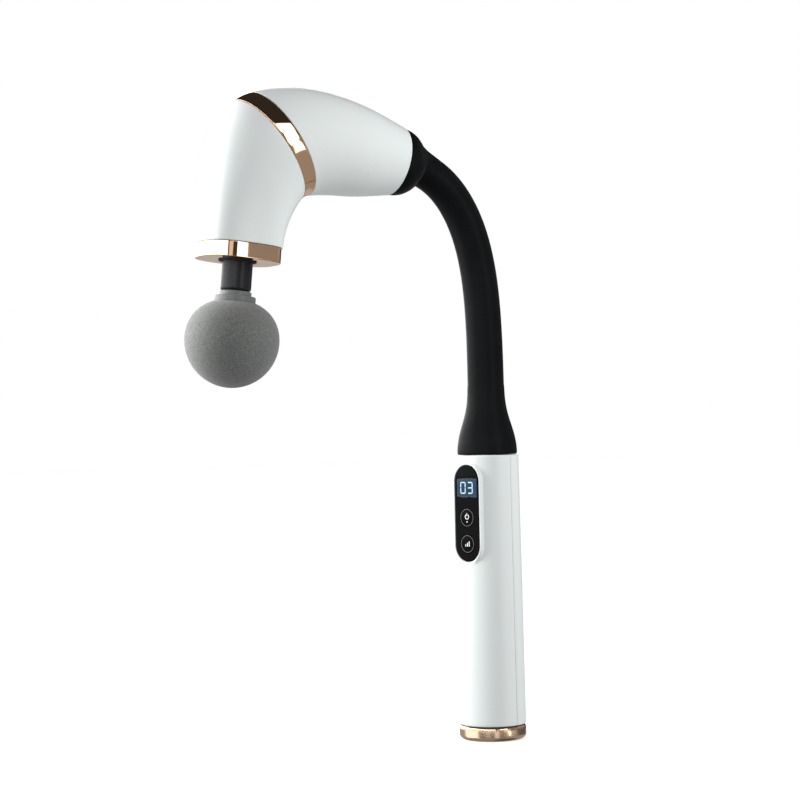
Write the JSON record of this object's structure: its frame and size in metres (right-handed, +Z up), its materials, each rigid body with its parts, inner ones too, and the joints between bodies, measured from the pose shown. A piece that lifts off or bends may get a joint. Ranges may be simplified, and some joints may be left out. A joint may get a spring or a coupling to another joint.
{
  "type": "handheld wand massager",
  "caption": "Handheld wand massager: straight battery handle, bendable silicone-sleeved neck and an elbow head that drives a soft ball in and out.",
  "frame": {"origin": "centre of the base cap's flat bottom face", "axes": "+Z up along the handle, -X towards the massage head and ball; the neck bends in the plane Y = 0"},
  "size_m": [0.2072, 0.0604, 0.3696],
  "materials": {
    "white_shell": "glossy moulded ABS",
    "rose_gold": "mirror rose-gold plating",
    "cap_gold": "satin rose-gold plating",
    "silicone": "satin black silicone",
    "lens_black": "high gloss acrylic",
    "display": "lit display window",
    "key_black": "gloss",
    "plunger_black": "satin hard-coated",
    "grey_collar": "satin moulded",
    "grey_foam": "fine-grained matt foam rubber",
    "steel": "machined",
    "dark_steel": "black oxide",
    "brass": "machined",
    "copper": "enamelled winding",
    "circuit_board": "solder mask",
    "cell_wrap": "shrink-wrapped cell",
    "inner_plastic": "moulded",
    "black_rubber": "matt"
  },
  "bodies": {
    "root": {"base_cap": "cap_gold", "cap_gasket": "black_rubber", "charge_port": "steel", "charge_board": "circuit_board", "handle_front_shell": "white_shell", "handle_rear_shell": "white_shell", "control_lens": "lens_black", "display_module": "display", "main_board": "circuit_board", "switch_upper": "dark_steel", "switch_lower": "dark_steel", "cell_lower": "cell_wrap", "cell_upper": "cell_wrap", "battery_cradle": "inner_plastic", "neck_socket_lower": "dark_steel", "clamp_screw_left": "dark_steel", "clamp_screw_right": "dark_steel", "neck_boot_lower": "silicone", "neck_core_foot": "steel"},
    "key_upper": {"key_upper": "key_black"},
    "key_lower": {"key_lower": "key_black"},
    "neck_link_1": {"neck_sleeve_1": "silicone", "neck_core_1": "steel"},
    "neck_link_2": {"neck_sleeve_2": "silicone", "neck_core_2": "steel"},
    "neck_link_3": {"neck_sleeve_3": "silicone", "neck_core_3": "steel"},
    "neck_link_4": {"neck_sleeve_4": "silicone", "neck_core_4": "steel"},
    "neck_link_5": {"neck_sleeve_5": "silicone", "neck_core_5": "steel"},
    "neck_link_6": {"neck_sleeve_6": "silicone", "neck_core_6": "steel"},
    "neck_link_7": {"neck_sleeve_7": "silicone", "neck_core_7": "steel"},
    "head": {"neck_boot_upper": "silicone", "neck_core_tip": "steel", "neck_socket_upper": "dark_steel", "barrel_shell": "white_shell", "trim_band": "rose_gold", "nose_shell": "white_shell", "nose_plate": "rose_gold", "plunger_seal": "black_rubber", "guide_bushing": "brass", "motor_can": "steel", "motor_stator": "copper", "damping_ring": "black_rubber", "driver_board": "circuit_board", "motor_bracket": "inner_plastic", "motor_screw_1": "dark_steel", "motor_screw_2": "dark_steel"},
    "crank": {"eccentric": "steel", "motor_rotor": "dark_steel"},
    "rod": {"connecting_rod": "brass", "rod_bearing": "steel"},
    "plunger": {"plunger": "plunger_black"},
    "ball": {"ball_core": "grey_collar", "massage_ball": "grey_foam"}
  },
  "joints": [
    {"name": "neck_sway_lower", "type": "hinge", "parent": "root", "child": "neck_link_1", "pos_m": [-0.00001, 0, 0.1954], "axis": [1, 0, 0], "range_deg": [-20, 20]},
    {"name": "neck_bend_lower", "type": "hinge", "parent": "neck_link_1", "child": "neck_link_2", "pos_m": [-0.00011, 0, 0.21547], "axis": [0, -1, 0], "range_deg": [-15, 15]},
    {"name": "neck_sway_upper", "type": "hinge", "parent": "neck_link_2", "child": "neck_link_3", "pos_m": [-0.00054, 0, 0.23554], "axis": [1, 0, 0], "range_deg": [-20, 20]},
    {"name": "neck_bend_middle", "type": "hinge", "parent": "neck_link_3", "child": "neck_link_4", "pos_m": [-0.00179, 0, 0.25557], "axis": [0, -1, 0], "range_deg": [-15, 15]},
    {"name": "neck_bend_upper", "type": "hinge", "parent": "neck_link_4", "child": "neck_link_5", "pos_m": [-0.00467, 0, 0.27542], "axis": [0, -1, 0], "range_deg": [-15, 15]},
    {"name": "neck_curl_lower", "type": "hinge", "parent": "neck_link_5", "child": "neck_link_6", "pos_m": [-0.01032, 0, 0.29465], "axis": [0, -1, 0], "range_deg": [-13, 2.4]},
    {"name": "neck_curl_middle", "type": "hinge", "parent": "neck_link_6", "child": "neck_link_7", "pos_m": [-0.02014, 0, 0.31209], "axis": [0, -1, 0], "range_deg": [-14.7, 2.6]},
    {"name": "neck_curl_upper", "type": "hinge", "parent": "neck_link_7", "child": "head", "pos_m": [-0.03457, 0, 0.32699], "axis": [0, -1, 0], "range_deg": [-34.4, 6]},
    {"name": "motor_spin", "type": "hinge", "parent": "head", "child": "crank", "pos_m": [-0.15104, 0, 0.33888], "axis": [0.9949, 0, -0.1011], "continuous": true},
    {"name": "rod_swivel", "type": "hinge", "parent": "crank", "child": "rod", "pos_m": [-0.15144, 0, 0.3349], "axis": [0.9949, 0, -0.1011], "continuous": true},
    {"name": "plunger_stroke", "type": "slide", "parent": "head", "child": "plunger", "axis": [0.1011, 0, 0.9949], "range_m": [0, 0.008]},
    {"name": "ball_pull_off", "type": "slide", "parent": "plunger", "child": "ball", "axis": [-0.1011, 0, -0.9949], "range_m": [0, 0.017]},
    {"name": "key_upper_press", "type": "slide", "parent": "root", "child": "key_upper", "axis": [0.9659, 0.2588, 0], "range_m": [0, 0.0005], "stiffness_N_per_m": 700},
    {"name": "key_lower_press", "type": "slide", "parent": "root", "child": "key_lower", "axis": [0.9659, 0.2588, 0], "range_m": [0, 0.0005], "stiffness_N_per_m": 700}
  ],
  "couplings": [
    {"joint": "neck_sway_upper", "follows": "neck_sway_lower", "ratio": 1},
    {"joint": "neck_bend_middle", "follows": "neck_bend_lower", "ratio": 1},
    {"joint": "neck_bend_upper", "follows": "neck_bend_lower", "ratio": 1},
    {"joint": "neck_curl_lower", "follows": "neck_curl_upper", "ratio": 0.377},
    {"joint": "neck_curl_middle", "follows": "neck_curl_upper", "ratio": 0.427},
    {"joint": "rod_swivel", "follows": "motor_spin", "ratio": -1}
  ]
}
